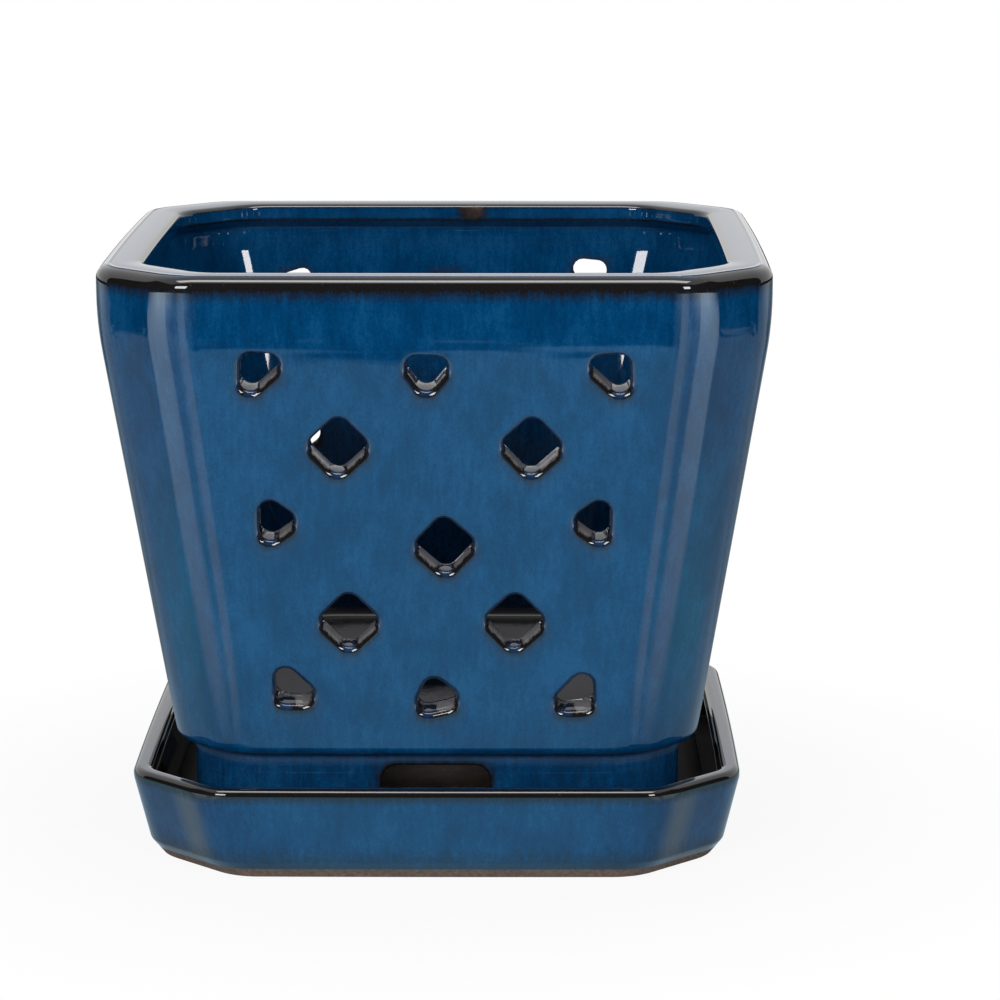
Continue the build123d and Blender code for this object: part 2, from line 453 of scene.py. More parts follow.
ring_edge = inset(saucer_outside(0), saucer_ring, saucer_corner_round)
saucer_corners = [
    (level(0, 0, 0, saucer_recess), 0, 3),
    (ring_edge + level(0, 0, 0, saucer_recess), 0, 0),
    (ring_edge, saucer_foot_round, 2),
    (saucer_outside(0), saucer_foot_round, 3),
    (saucer_outside(saucer_bevel_z), saucer_bevel_round, 12),
    (saucer_outside(saucer_band_z), saucer_band_round, 1),
    (saucer_outside(saucer_height), saucer_rim_round, 2),
    (saucer_inside(saucer_height), saucer_rim_inner_round, 1),
    (saucer_inside(saucer_band_z), saucer_band_round, 6),
    (saucer_inside(saucer_floor_z), saucer_floor_round, 6),
    (level(0, 0, 0, saucer_floor_z), 0, 0),
]
shell_tree = make_shell_tree()
saucer_glaze = glaze_material("saucer_glaze", saucer_glaze_line)
saucer_outline = make_outline("saucer_outline", wall_steps=40, cut_steps=6, round_steps=8)
saucer_values = {"Wall bow": saucer_bow, "Unevenness": 0.0008, "Lumps per metre": 16.0, "Seed": 5.0}
saucer_values["Glaze"] = saucer_glaze
saucer = make_shell("drip_saucer", profile(saucer_corners), saucer_outline, shell_tree, saucer_values)
saucer_mesh = settle(saucer)
x, y, z = coordinates(saucer_mesh).T
below_rim = saucer_height - z
outside = outline_reach(x, y, saucer_cut) > saucer_half_at(z) - wall_share * saucer_wall
rim_cover = np.maximum(blue_starts + (below_rim - saucer_brown_band) / saucer_band_fade, black_cover)
line_cover = saucer_line_cover + (z - saucer_glaze_line) / saucer_line_fade
# the saucer's inside is painted near black: painted shade
cover = np.where(outside, np.minimum(rim_cover, line_cover), saucer_inner_shade_cover)
cover[below_rim < 0.05 * mm] = saucer_crest_cover
store(saucer_mesh, "glaze_cover", np.clip(cover, 0, 2))
# A pale streak down each cut corner is a painted highlight
from_edge = (saucer_cut - abs(y) + abs(x)) / sqrt(2)
pale_edge = sheen_streak_strength - abs(from_edge - sheen_streak_place) / sheen_streak_reach
store(saucer_mesh, "pale_edge", outside * np.clip(pale_edge, 0, 1))
inner_cut = saucer_cut - saucer_wall * corner_inset
floor_edge = saucer_half_at(saucer_floor_z) - saucer_wall - outline_reach(x, y, inner_cut)
wash = wash_strength * np.clip((floor_edge - wash_start) / wash_fade, 0, 1)
store(saucer_mesh, "bare_clay", wash * (~outside & (z > saucer_recess + 1 * mm)))
store(saucer_mesh, "dullness", ~outside & (z < saucer_floor_z + 4 * mm))
store(saucer_mesh, "rust_reach", np.full(len(z), 1.0))
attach(saucer, "saucer")
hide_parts("saucer")

# Pot
# A square pot of stoneware clay with cut corners, cast in one piece with its set-back foot.
# Its walls lean out to a thick, lipped rim. It stands loose on the saucer's floor.
rim_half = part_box("pot")[1].x
rim_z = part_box("pot")[1].z
foot_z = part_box("pot")[0].z
fold_z = foot_z + 25 * mm
floor_z = fold_z + 7.5 * mm
floor_under_z = floor_z - 8 * mm
floor_round = 1.2 * mm
fold_half = 71.5 * mm
rim_cut = 19.8 * mm
fold_cut = 15.7 * mm
fold_round = 2.8 * mm
shoulder_z = rim_z - 16 * mm
shoulder_round = 100 * mm
rim_corner_round = 16 * mm
shoulder_corner_round = 20 * mm
fold_corner_round = 23 * mm
pot_inner_round = 22 * mm
inner_shoulder_z = rim_z - 14 * mm
inner_shoulder_round = 20 * mm
lip_corner_round = 14 * mm
rim_corner_fill = 5.5 * mm
floor_corner_fill = 14 * mm
shoulder_corner_fill = 2.7 * mm
pot_wall = 8 * mm
rim_ledge = 12 * mm
rim_round = 3.5 * mm
rim_crown = 0.6 * mm
crown_round = 30 * mm
lip_z = rim_z - 5 * mm
lip_top_round = 1.6 * mm
lip_foot_round = 1.4 * mm
lip_root_z = lip_z - 3 * mm
lip_root_round = 2 * mm
foot_setback = 5 * mm
foot_wall = 9 * mm
foot_round = 1.2 * mm
foot_top_round = 2 * mm
foot_hollow_round = 3 * mm
wall_slope = (rim_half - fold_half) / (shoulder_z - fold_z)
wall_lean = atan(wall_slope)
wall_bow = 1.6


def leaning_half(z):
    return fold_half + wall_slope * (z - fold_z)


def pot_outside(z):
    """The pot's outside at height z: a leaning wall under an upright band."""
    half = min(leaning_half(z), rim_half)
    cut = fold_cut + (rim_cut - fold_cut) * (z - fold_z) / (rim_z - fold_z)
    rounds = (fold_corner_round, shoulder_corner_round, rim_corner_round)
    return level(half, cut, np.interp(z, (fold_z, shoulder_z, rim_z), rounds), z)


def pot_inside(z):
    """The pot's inside at height z, with more clay in its corners towards the floor."""
    share = (z - floor_z) / (inner_shoulder_z - floor_z)
    corner_fill = floor_corner_fill + (shoulder_corner_fill - floor_corner_fill) * share
    return inset(pot_outside(z), pot_wall - max(leaning_half(z) - rim_half, 0), pot_inner_round, corner_fill)


def pot_rim(z, depth, rounding):
    corner_fill = rim_corner_fill * depth / rim_ledge
    return inset(level(rim_half, rim_cut, rim_corner_round, z), depth, rounding, corner_fill)


def pot_lip(z):
    return pot_rim(z, rim_ledge, lip_corner_round)


def pot_foot(z, depth):
    corner_round = fold_corner_round - foot_setback - depth
    return inset(level(fold_half, fold_cut, fold_corner_round, z), foot_setback + depth, corner_round)


pot_corners = [
    (level(0, 0, 0, floor_under_z), 0, 3),
    (pot_foot(floor_under_z, foot_wall), foot_hollow_round, 6),
    (pot_foot(foot_z, foot_wall), foot_round, 1),
    (pot_foot(foot_z, 0), foot_round, 8),
    (pot_foot(fold_z, 0), foot_top_round, 0),
    (pot_outside(fold_z), fold_round, 58),
    (pot_outside(shoulder_z), shoulder_round, 3),
    (pot_rim(rim_z - rim_crown, 0, rim_corner_round), rim_round, 0),
    (pot_rim(rim_z, rim_ledge / 2, rim_corner_round), crown_round, 0),
    (pot_lip(rim_z - rim_crown), lip_top_round, 3),
    (pot_lip(lip_z), lip_foot_round, 1),
    (pot_inside(inner_shoulder_z) + level(0, 0, 0, lip_root_z - inner_shoulder_z), lip_root_round, 2),
    (pot_inside(inner_shoulder_z), inner_shoulder_round, 34),
    (pot_inside(floor_z), floor_round, 8),
    (level(0, 0, 0, floor_z), 0, 0),
]
pot_glaze = glaze_material("pot_glaze", foot_z + 0.5 * mm)
pot_outline = make_outline("pot_outline", wall_steps=60, cut_steps=4, round_steps=10)
pot_values = {"Wall bow": wall_bow, "Unevenness": 0.0016, "Lumps per metre": 16.0, "Seed": 2.0}
pot_values["Glaze"] = pot_glaze
pot = make_shell("orchid_pot", profile(pot_corners), pot_outline, shell_tree, pot_values)

# Slots, foot arches and drain hole
# Thirteen slots pierce each wall: whole diamonds inside a lattice, and halves and quarters along its border.
# They were cut with a knife through the soft clay, as were the arches, and their edges softened in the glaze.
lattice_rows = 5
lattice_reach = 2
lattice_top_z = rim_z - 21 * mm
lattice_base_z = floor_z + 6.5 * mm
lattice_margin_top = 18.5 * mm
lattice_margin_base = 14.5 * mm
centre_slot_drop = 3 * mm
side_slot_rise = 3 * mm
slot_diamond = 13.2 * mm
slot_edge_base = 18.5 * mm
slot_edge_depth = 12.5 * mm
slot_corner_leg = 16 * mm
slot_round = 3.4 * mm
slot_shrink = 0.5 * mm  # the cut itself, inside its softened edge
slot_edge = (2.4 * mm, 2.0 * mm)  # width and height of a softened edge, as in the edges below
slot_inner_edges = ((2 * mm, 2 * mm), (1.2 * mm, 4.5 * mm), (1.2 * mm, 4.5 * mm))
corner_thickening = 3.5 * mm
arch_width = 29 * mm
arch_height = 21 * mm
arch_round = 4 * mm
arch_edge = (1.2 * mm, 1.2 * mm)
drain_half = 11 * mm
drain_round = 0.98 * drain_half
drain_depth = 8 * mm
drain_edge = (1.5 * mm, 1.5 * mm)
hole_inner_edge = (1 * mm, 1 * mm)
arch_kind = 3  # after the slots, whose kind is how many sides of the border cut them
drain_kind = 4
stray = 0.7 * mm  # how far a slot strays from its place on the walls that the photograph doesn't show
stray_turn = radians(3)
front_wall = 0
back_wall = 2
# Row and column of a slot, with how far it sits to the right and up from its place, in millimetres
front_stray = {(4, -2): (1.3, 1.2), (4, 0): (-1.4, 0.2), (4, 2): (0, 0.8)}
front_stray |= {(3, 1): (1.0, 0)}
front_stray |= {(2, -2): (1.4, 0.5), (2, 0): (2.9, 0), (2, 2): (-0.8, 0.5)}
front_stray |= {(1, 1): (-1.3, 0)}
front_stray |= {(0, 0): (1.4, -1.6), (0, 2): (0, -1.5)}
back_stray = {(4, -2): (1.7, 2.4), (4, 0): (0, -1.5), (4, 2): (0.5, -2.2)}
back_stray |= {(2, 2): (0, -4.0), (0, 0): (0, -3.5)}
front_turn = {(0, 0): radians(11)}
back_turn = {(4, 2): radians(-18), (4, -2): radians(7)}
seen_strays = {front_wall: front_stray, back_wall: back_stray}
seen_turns = {front_wall: front_turn, back_wall: back_turn}
edge_start = radians(9)  # a softened edge leaves the wall at this angle
edge_above = 0.3 * mm
edge_steps = 5


def slot_corners(sides_on_border):
    """A slot's corners about its lattice point: whole, or cut by one or two sides of the border."""
    if sides_on_border == 0:
        reach = slot_diamond / sqrt(2)
        return [(reach, 0), (0, reach), (-reach, 0), (0, -reach)]
    if sides_on_border == 1:
        return [(-slot_edge_base / 2, 0), (slot_edge_base / 2, 0), (0, slot_edge_depth)]
    return [(0, 0), (slot_corner_leg, 0), (0, slot_corner_leg)]


def rectangle(half_width, half_height):
    return [(a * half_width, b * half_height) for a, b in ((-1, -1), (1, -1), (1, 1), (-1, 1))]


def corner_rounds(corners, rounding):
    """For each corner of a convex outline: its round's centre, and the ways square to the sides it joins."""
    corners = np.array(corners, float)
    rounds = []
    for number, here in enumerate(corners):
        arrive = here - corners[number - 1]
        leave = corners[(number + 1) % len(corners)] - here
        first = np.array([arrive[1], -arrive[0]]) / np.hypot(*arrive)
        second = np.array([leave[1], -leave[0]]) / np.hypot(*leave)
        centre = here - (first + second) / (1 + first @ second) * rounding
        rounds.append((centre, first, second))
    return rounds


def outline_points(corners, rounding, arc_steps, side_steps):
    """Points round a convex outline with rounded corners, and the way out at each of them."""
    points, ways = [], []
    rounds = corner_rounds(corners, rounding)
    for number, (centre, first, second) in enumerate(rounds):
        next_centre = rounds[(number + 1) % len(rounds)][0]
        turn = np.arccos(np.clip(first @ second, -1, 1))
        for step in range(arc_steps + 1):
            angle = turn * step / arc_steps
            way = np.array(Matrix.Rotation(angle, 2)) @ first
            points.append(centre + rounding * way)
            ways.append(way)
        for centre_on_side in between(centre, next_centre, side_steps):
            points.append(centre_on_side + rounding * second)
            ways.append(second)
    return np.array(points), np.array(ways)


def edge_profile(width, height):
    """A softened edge, from the face inwards: pairs of depth below the face and distance from the cut."""
    steps = [edge_start + (pi / 2 - edge_start) * step / edge_steps for step in range(edge_steps + 1)]
    soft = [(height * (1 - cos(angle)), width * (1 - sin(angle))) for angle in steps]
    first_depth, first_out = soft[0]
    flare = (edge_above + first_depth) * width / height / tan(edge_start)
    return [(-edge_above, first_out + flare), *soft]


def make_cutter(name, corners, rounding, depth, outer_edge, inner_edge, arc_steps=5, side_steps=7):
    """A closed cutter: the outline run through a wall of that depth, flaring at both faces."""
    points, ways = outline_points(corners, rounding, arc_steps, side_steps)
    rings = [(-down, out) for down, out in edge_profile(*outer_edge)]
    rings += [(down - depth, out) for down, out in reversed(edge_profile(*inner_edge))]
    verts = [(*(point + out * way), height) for height, out in rings for point, way in zip(points, ways)]
    around = len(points)
    faces = [tuple(range(around)), tuple(reversed(range(len(verts) - around, len(verts))))]
    for ring in range(len(rings) - 1):
        for step in range(around):
            here, ahead = ring * around + step, ring * around + (step + 1) % around
            faces.append((here, here + around, ahead + around, ahead))
    mesh = bpy.data.meshes.new(name)
    mesh.from_pydata(verts, [], faces)
    cutters.objects.link(bpy.data.objects.new(name, mesh))


def wall_place(x, z, face_half, lean, wall):
    """Where a cutter stands: x along the wall and z up, square to the bowed face of one of the four walls."""
    along = x / (1 - wall_bow * face_half**2)
    sunk = face_half * (1 - wall_bow * along**2)
    swing = atan(2 * wall_bow * face_half * along)
    stand = Matrix.Translation((x, -sunk, z)) @ Matrix.Rotation(swing, 4, "Z")
    return Matrix.Rotation(wall * pi / 2, 4, "Z") @ stand @ Matrix.Rotation(pi / 2 + lean, 4, "X")


def lattice_slot(row, column):
    """A slot's place on the wall, how many sides of the border cut it, and its turn."""
    z = lattice_base_z + (lattice_top_z - lattice_base_z) * row / (lattice_rows - 1)
    share = (z - lattice_base_z) / (lattice_top_z - lattice_base_z)
    if row == (lattice_rows - 1) / 2:
        z += side_slot_rise if column else -centre_slot_drop
    margin = lattice_margin_base + (lattice_margin_top - lattice_margin_base) * share
    half, cut = pot_outside(z)[:2]
    on_border = [row == 0, column == lattice_reach, row == lattice_rows - 1, column == -lattice_reach]
    sides = [side for side in range(4) if on_border[side]]
    corner = [side for side in sides if on_border[side - 1]]
    turn = (corner or sides or [0])[0] * pi / 2
    return (half - cut - margin) * column / lattice_reach, z, len(sides), turn


cutters = bpy.data.collections.new("cutters")
wall_depth = pot_wall * cos(wall_lean)
slot_depths = (wall_depth, wall_depth + corner_thickening, wall_depth + corner_thickening)
cut_round = slot_round - slot_shrink
outlines = []
for sides in range(3):
    rounds = corner_rounds(slot_corners(sides), slot_round)
    outlines.append([centre + cut_round * (a + b) / (1 + a @ b) for centre, a, b in rounds])
    ends = (slot_depths[sides], slot_edge, slot_inner_edges[sides])
    make_cutter(f"cutter_{sides}_slot", outlines[sides], cut_round, *ends)
outlines.append(rectangle(arch_width / 2, arch_height))
ends = (foot_wall, arch_edge, hole_inner_edge)
make_cutter("cutter_3_arch", outlines[arch_kind], arch_round, *ends)
outlines.append(rectangle(drain_half, drain_half))
ends = (drain_depth, drain_edge, hole_inner_edge)
make_cutter("cutter_4_drain", outlines[drain_kind], drain_round, *ends, arc_steps=12, side_steps=1)
outline_rounds = [cut_round] * 3 + [arch_round, drain_round]

draw = np.random.default_rng(11)
places = []
for wall in range(4):
    for row in range(lattice_rows):
        for column in range(-lattice_reach, lattice_reach + 1):
            if (row + column) % 2:
                continue
            x, z, sides, turn = lattice_slot(row, column)
            drift = draw.uniform(-1, 1, 3)
            known = seen_strays.get(wall, {}).get((row, column))
            if wall == front_wall or known:
                known = known or (0, 0)
                x += known[0] * mm
                z += known[1] * mm
            else:
                x += drift[0] * stray
                z += drift[1] * stray
            turn += drift[2] * stray_turn
            turn += seen_turns.get(wall, {}).get((row, column), 0)
            stand = wall_place(x, z, pot_outside(z)[0], wall_lean, wall)
            places.append((sides, stand @ Matrix.Rotation(turn, 4, "Z")))
    places.append((arch_kind, wall_place(0, foot_z, pot_foot(foot_z, 0)[0], 0, wall)))
places.append((drain_kind, Matrix.Translation((0, 0, floor_z))))


def make_piercing_tree():
    """Stands a cutter at each point and takes them all out of the shell.
    What is left of the shell keeps its own smooth shading."""
    inputs = {"Shell": "Geometry", "Places": "Object", "Cutters": "Collection", "Glaze": "Material"}
    tree, given = new_tree("wall_piercing", inputs, "Pierced")
    points = add_node(tree, "GeometryNodeObjectInfo", {"Object": given["Places"]}).outputs["Geometry"]
    choice = {"Collection": given["Cutters"], "Separate Children": True, "Reset Children": True}
    kinds = add_node(tree, "GeometryNodeCollectionInfo", choice).outputs[0]
    angles = named_field(tree, "turn", "FLOAT_VECTOR")
    turn = add_node(tree, "FunctionNodeEulerToRotation", {0: angles}).outputs[0]
    settings = {"Points": points, "Instance": kinds, "Pick Instance": True}
    settings |= {"Instance Index": named_field(tree, "kind", "INT"), "Rotation": turn}
    standing = add_node(tree, "GeometryNodeInstanceOnPoints", settings).outputs[0]
    standing = add_node(tree, "GeometryNodeRealizeInstances", {"Geometry": standing}).outputs[0]
    parts = {"Mesh 1": given["Shell"], "Mesh 2": standing}
    cutting = {"operation": "DIFFERENCE", "solver": "MANIFOLD"}
    pierced = add_node(tree, "GeometryNodeMeshBoolean", parts, **cutting).outputs[0]
    pierced = add_node(tree, "GeometryNodeSetShadeSmooth", {"Geometry": pierced}).outputs[0]
    own = add_node(tree, "GeometryNodeInputNormal").outputs["Normal"]
    nearest = {"Mesh": given["Shell"], "Value": own}
    before = add_node(tree, "GeometryNodeSampleNearestSurface", nearest, data_type="FLOAT_VECTOR").outputs[0]
    off_shell = add_node(tree, "GeometryNodeProximity", {"Geometry": given["Shell"]}).outputs["Distance"]
    uncut = math_node(tree, "LESS_THAN", off_shell, 0.003 * mm)
    either = {0: uncut, 1: own, 2: before}
    chosen = add_node(tree, "GeometryNodeSwitch", either, input_type="VECTOR").outputs[0]
    set_normal = add_node(tree, "GeometryNodeSetMeshNormal", mode="FREE", domain="POINT")
    tree.links.new(pierced, set_normal.inputs["Mesh"])
    tree.links.new(chosen, set_normal.inputs["Custom Normal"])
    return finish_tree(tree, set_normal.outputs[0], given["Glaze"])


place_mesh = bpy.data.meshes.new("cutter_places")
place_mesh.from_pydata([stand.translation for _, stand in places], [], [])
store(place_mesh, "kind", [kind for kind, _ in places], "INT")
store(place_mesh, "turn", [tuple(stand.to_euler()) for _, stand in places], "FLOAT_VECTOR")
cutter_places = new_object("cutter_places", place_mesh)
apply_tree(pot, make_piercing_tree(), {"Places": cutter_places, "Cutters": cutters, "Glaze": pot_glaze})
pot_mesh = settle(pot)
for helper in (saucer_outline, pot_outline, cutter_places, *cutters.objects):
    bpy.data.objects.remove(helper)

# Glaze of the pot
# One blue glaze covers the pot inside and out, down to its foot. It broke to black on the rim and the slots,
# gathered in the slots' lowest corners, and lies thin and grey on the floor inside.
# Painted shade darkens the inside towards its floor, the floor along its walls, the lip's underside and the
# foot.
full_cover = 2.0
rim_black_band = 3.8 * mm
rim_band_fade = 6.6 * mm
ledge_depth = 1.2 * mm
ledge_blue = (1.8 * mm, 3.4 * mm, 9.4 * mm, 10.8 * mm)  # from the rim inwards: starts, full, fades, ends
lip_top_fade = 1.0 * mm
lip_under_shade_fade = 1.1 * mm
lip_shade = 3 * mm
chip = (8.3 * mm, 78 * mm, 162.7 * mm)  # a spot at the back of the lip where the clay shows
chip_reach = 2.5 * mm
chip_fade = 5 * mm
chip_strength = 1.2
chip_clay_fade = 3 * mm
chip_clay_most = 0.35
# Painted shade: the inside darkens towards its floor, from full blue at the top to part black low down
inner_shade_heights = (floor_z + 6 * mm, 110 * mm, 150 * mm)
inner_shade_covers = (0.72, 0.80, full_cover)
inner_floor_height = 3 * mm
# Painted shade: the floor inside turns black along the foot of its walls; it is also black round the drain
# hole
floor_shade_edge = 4 * mm
floor_shade_fade = 11 * mm
drain_black_edge = 20 * mm
drain_edge_fade = 20 * mm
floor_shade_cover = 0.36
drop_place = 55.6 * mm  # a dark drop near both ends of each wall, above the fold
drop_z = 39.6 * mm
drop_cover = 0.62
drop_fade = 4 * mm
hollow_cover = 0.35
foot_shade_cover = 0.85
hole_edge_cover = 0.34
hole_edge_fade = 5 * mm
slot_glaze_reach = 26 * mm
slot_glaze_depth = 4.5 * mm
slot_edge_cover = 0.8
slot_edge_fade = 1.4 * mm
slot_edge_fade_below = 2.0 * mm
pool_cover = 1.6
pool_fade = 1.8 * mm
pool_drop = 0.2 * mm
pool_depth = 1.0 * mm
rust_beside = 2.0 * mm
rust_below = 4.5 * mm
floor_corner_dullness = 0.6
floor_dullness = 0.8
fold_dullness = 0.6


def outline_gap(points, corners, rounding):
    """How far outside a rounded outline each point lies, and the way out of it there."""
    gap = np.full(len(points), -np.inf)
    way = np.zeros((len(points), 2))
    rounds = corner_rounds(corners, rounding)
    for centre, _, square in rounds:
        side_gap = (points - centre) @ square - rounding
        nearer = side_gap > gap
        gap[nearer] = side_gap[nearer]
        way[nearer] = square
    for centre, first, second in rounds:
        off = points - centre
        reach = np.maximum(np.hypot(*off.T), 1e-9)
        turned_on = first[0] * off[:, 1] - first[1] * off[:, 0] > 0
        turned_back = off[:, 0] * second[1] - off[:, 1] * second[0] > 0
        near = turned_on & turned_back
        gap[near] = reach[near] - rounding
        way[near] = (off / reach[:, None])[near]
    return gap, way


verts = coordinates(pot_mesh)
x, y, z = verts.T
below_rim = rim_z - z
inward = rim_half - outline_reach(x / (1 - wall_bow * y**2), y / (1 - wall_bow * x**2), rim_cut)
from_chip = np.sqrt((x - chip[0]) ** 2 + (y - chip[1]) ** 2 + (z - chip[2]) ** 2)
band_cover = np.maximum(blue_starts + (below_rim - rim_black_band) / rim_band_fade, black_cover)
ledge_cover = np.interp(inward, ledge_blue, (black_cover, 1.0, 1.0, black_cover))
# black along the lip's top edge, where the glaze broke thin, and along its foot, a painted shade under the
# lip
lip_cover = np.minimum(np.maximum(below_rim - ledge_depth, 0) / lip_top_fade, abs(z - lip_z) / lip_under_shade_fade)
lip_cover = black_cover + np.minimum(lip_cover, np.maximum(from_chip - chip_reach, 0) / chip_fade)
lip_cover = np.where(z > lip_root_z - lip_shade, lip_cover, full_cover)
cover = np.where(inward < rim_ledge / 2, band_cover, lip_cover)
cover = np.where(below_rim < ledge_depth, ledge_cover, cover)

inside = (inward > rim_ledge / 2) & (z < lip_root_z) & (z > floor_under_z + 1 * mm)
inside &= outline_reach(x, y, fold_cut) < leaning_half(z) - wall_share * pot_wall
# painted shade, darker deeper in the pot
cover[inside] = np.interp(z[inside], inner_shade_heights, inner_shade_covers)
inner_floor = inside & (z < floor_z + inner_floor_height)
floor_cut = fold_cut + floor_corner_fill - pot_wall * corner_inset
floor_edge = leaning_half(floor_z) - pot_wall - outline_reach(x, y, floor_cut)
thin_floor = np.clip((floor_edge - floor_shade_edge) / floor_shade_fade, 0, 1)
thin_floor *= np.clip((np.hypot(x, y) - drain_black_edge) / drain_edge_fade, 0, 1)
# black along the walls is painted shade; black round the drain hole; thin grey glaze between
cover[inner_floor] = floor_shade_cover * (1 - thin_floor[inner_floor])

from_drop = np.hypot(np.minimum(abs(x), abs(y)) - drop_place, z - drop_z)
cover = np.where(inside, cover, np.minimum(cover, drop_cover + from_drop / drop_fade))
under_foot = outline_reach(x, y, fold_cut) < fold_half - foot_setback - 3 * mm
foot_hollow = (z < floor_under_z + 1 * mm) & under_foot
cover[foot_hollow] = hollow_cover
# painted shade: the foot under the fold is darker blue
foot_outside = ~foot_hollow & ~inside & (z < fold_z - 1 * mm)
cover[foot_outside] = np.minimum(cover[foot_outside], foot_shade_cover)

rust_reach = np.ones(len(verts))
for kind, stand in places:
    turn = np.array(stand.to_3x3())
    local = (verts - np.array(stand.translation)) @ turn
    near = np.hypot(local[:, 0], local[:, 1]) < slot_glaze_reach
    near &= abs(local[:, 2] + wall_depth / 2) < wall_depth / 2 + slot_glaze_depth
    gap, way = outline_gap(local[near, :2], outlines[kind], outline_rounds[kind])
    if kind in (arch_kind, drain_kind):
        cover[near] = np.minimum(cover[near], hole_edge_cover + np.maximum(gap, 0) / hole_edge_fade)
        continue
    up = turn[2, :2]
    downward = np.clip(-way @ up, 0, 1)
    thinned = slot_edge_cover * np.clip(1 - 1.4 * downward, 0, 1)
    thinned += gap / (slot_edge_fade + slot_edge_fade_below * downward)
    centres = [centre for centre, _, _ in corner_rounds(outlines[kind], cut_round)]
    lowest = min(centres, key=lambda spot: spot @ up)
    drop = local[near] - np.append(lowest - up * (cut_round + pool_drop), -pool_depth)
    pooled = pool_cover - np.sqrt((drop**2).sum(1)) / pool_fade
    cover[near] = np.minimum(cover[near], np.maximum(thinned, pooled))
    rust_reach[near] = np.minimum(rust_reach[near], gap / (rust_beside + rust_below * downward))
store(pot_mesh, "rust_reach", np.maximum(rust_reach, 0))
store(pot_mesh, "glaze_cover", np.clip(cover, 0, 2))
store(pot_mesh, "bare_clay", np.clip(chip_strength - from_chip / chip_clay_fade, 0, chip_clay_most))
under_fold = ~inside & (z > fold_z - 3 * mm) & (z < fold_z + 0.8 * mm)
on_floor = np.where(z > floor_z + 0.2 * mm, floor_corner_dullness, floor_dullness * thin_floor)
soft_gloss = inner_floor * on_floor + fold_dullness * under_fold
store(pot_mesh, "dullness", np.where(foot_hollow, 1.0, soft_gloss))
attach(pot, "pot")
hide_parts("pot")

# Floor, light and camera
# A white floor under soft light from softboxes and a white room, dark behind the camera.
# Boards laid on the floor show only in the glaze: dark ones further out, bright ones off each corner.
floor_reach = 3.0
# Painted reflection: in the glaze the floor glows in these tints, not white, dimmer behind the pot
front_reflection_tint = (0.42, 0.95, 1.35, 1)  # of the floor as the glaze mirrors it
side_reflection_tint = (0.35, 1.0, 1.2, 1)
far_reflection_tint = (0.40, 0.52, 0.60, 1)
board_shade = (0.004, 0.004, 0.004, 1)
dark_start = 0.42
dark_full = 0.48
room_half = 1.8
room_front = -1.5
room_back = 0.4
room_height = 2.2
# Bright boards off each corner: bearing, half its width, where its glow ends, and its glow near and far
boards = ((21, 3, 15, 1.5, 2.1), (58, 7, 28, 1.4, 6.0))
board_tint = (0.75, 0.92, 1, 1)
board_apex = 0.080
board_start = 0.020
board_near = 0.065
board_end = 1.4
back_glow = 0.2  # of the front boards, because the edges of the pot mirror what lies behind it
pot_middle = (0, 0, 0.1)


def seen_directly(tree):
    """1 for what the camera sees, straight or in a reflection, and 0 for light on its way."""
    path = add_node(tree, "ShaderNodeLightPath").outputs
    seen = math_node(tree, "MAXIMUM", path["Is Camera Ray"], path["Is Glossy Ray"])
    return math_node(tree, "MAXIMUM", seen, path["Is Transmission Ray"])


def stage_sheet(name, corners):
    mesh = bpy.data.meshes.new(name)
    mesh.from_pydata(corners, [], [tuple(range(first, first + 4)) for first in range(0, len(corners), 4)])
    sheet = new_object(name, mesh)
    material = new_material(name)
    mesh.materials.append(material)
    return sheet, material.node_tree


def square(half, z):
    return [(-half, -half, z), (half, -half, z), (half, half, z), (-half, half, z)]


def only_in_gloss(sheet):
    sheet.visible_camera = False
    sheet.visible_diffuse = False
    sheet.visible_shadow = False
    sheet.visible_transmission = False


def glowing(tree, colour, strength=1.0):
    return add_node(tree, "ShaderNodeEmission", {"Color": colour, "Strength": strength}).outputs[0]


def blended(tree, share, first, second):
    """A surface between two others."""
    return add_node(tree, "ShaderNodeMixShader", {0: share, 1: first, 2: second}).outputs[0]


_, tree = stage_sheet("white_floor", square(floor_reach, 0))
place = add_node(tree, "ShaderNodeTexCoord").outputs["Object"]
distance = add_node(tree, "ShaderNodeVectorMath", {0: place}, operation="LENGTH").outputs["Value"]
matt = add_node(tree, "ShaderNodeBsdfDiffuse", {"Color": (0.7, 0.7, 0.7, 1)}).outputs[0]
path = add_node(tree, "ShaderNodeLightPath").outputs
share = math_node(tree, "MULTIPLY", faded(tree, distance, 0.10, 0.20, 0.92, 1.0), path["Is Camera Ray"])
surface = blended(tree, share, matt, glowing(tree, (1, 1, 1, 1)))
forward = math_node(tree, "MULTIPLY", add_node(tree, "ShaderNodeSeparateXYZ", {0: place}).outputs["Y"], -1.0)
bearing = math_node(tree, "DIVIDE", forward, distance)  # from 1 in front of the pot to -1 behind it
clear_of_saucer = faded(tree, distance, 0.125, 0.21)
close = faded(tree, distance, 0.20, 0.36, 1.0, 0.0)
beside = math_node(tree, "MULTIPLY", clear_of_saucer, close)
beside = math_node(tree, "MULTIPLY", beside, faded(tree, bearing, -0.1, 0.3))
# painted reflection: the tinted glow the glaze mirrors in place of the floor
tint = mixed(tree, beside, far_reflection_tint, side_reflection_tint)
tint = mixed(tree, faded(tree, bearing, 0.7, 0.95), tint, front_reflection_tint)
floor_painted_reflection = glowing(tree, tint, faded(tree, bearing, -0.9, -0.3, 0.25, 1.0))
surface = blended(tree, path["Is Glossy Ray"], surface, floor_painted_reflection)
add_node(tree, "ShaderNodeOutputMaterial", {"Surface": surface})

